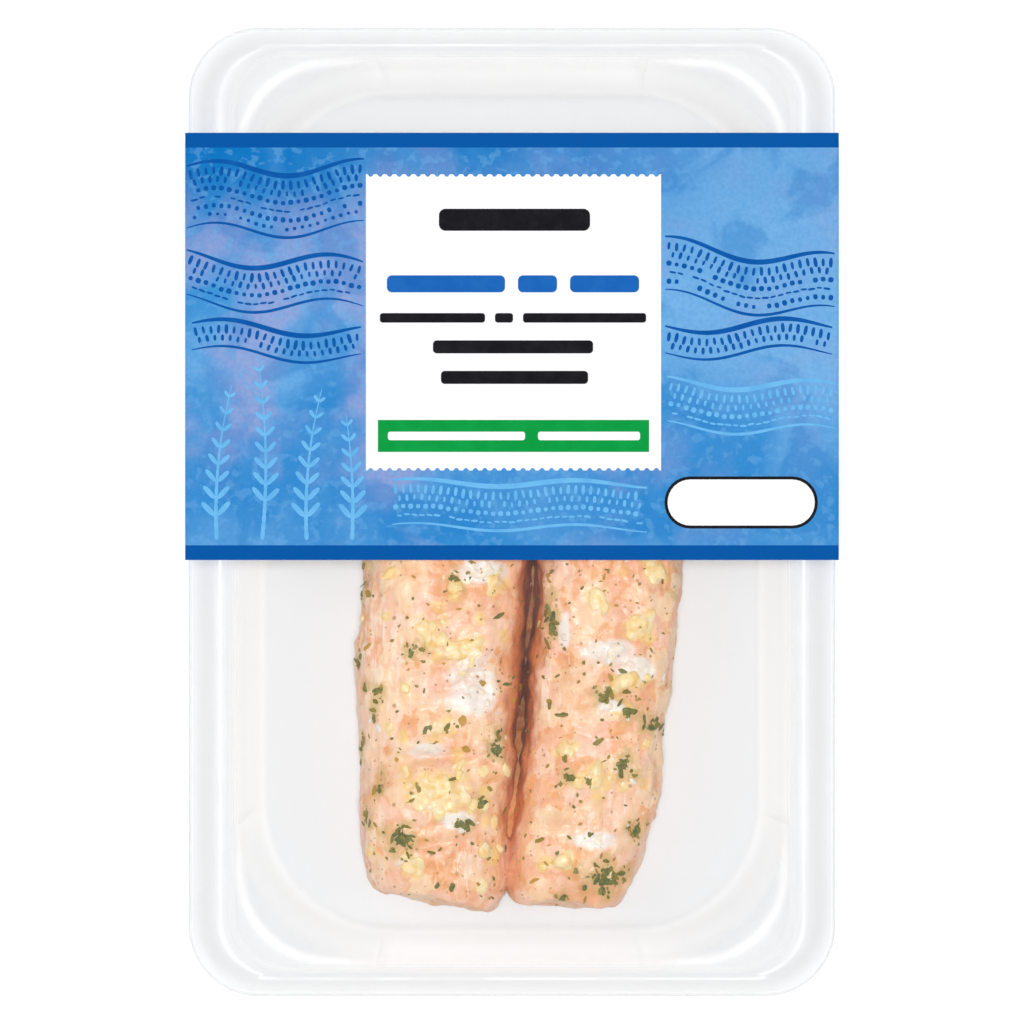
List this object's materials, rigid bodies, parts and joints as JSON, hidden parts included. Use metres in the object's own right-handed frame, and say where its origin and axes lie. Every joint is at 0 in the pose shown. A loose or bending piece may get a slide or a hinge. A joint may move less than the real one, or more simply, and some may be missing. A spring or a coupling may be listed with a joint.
{
  "type": "sealed pack of lemon and herb salmon fillets",
  "caption": "Clear sealed tray holding cooked salmon fillets side by side under lemon crumbs and herb flakes, with a clear lid film and a blue card sleeve round the middle.",
  "frame": {"origin": "middle of the underside of the pack as it lies on its base, on the sleeve's bottom panel", "axes": "+Y along the fillets and the tray's length, towards the end that the sleeve is nearer to, +Z up out of the lid film, +X to the right seen from above with +Y up"},
  "size_m": [0.1308, 0.194, 0.031],
  "materials": {
    "tray": "clear thin thermoformed plastic, smooth and glossy",
    "lid_film": "clear thin film, stretched flat",
    "sleeve": "smooth coated card with a soft mottled blue print, plain white inside",
    "salmon": "moist cooked fish, peach pink with pale fat lines, yellow lemon crumbs and green herb flakes"
  },
  "bodies": {
    "root": {"tray": "tray", "lid_film": "lid_film", "sleeve": "sleeve", "fillet_left": "salmon", "fillet_right": "salmon"}
  },
  "joints": []
}
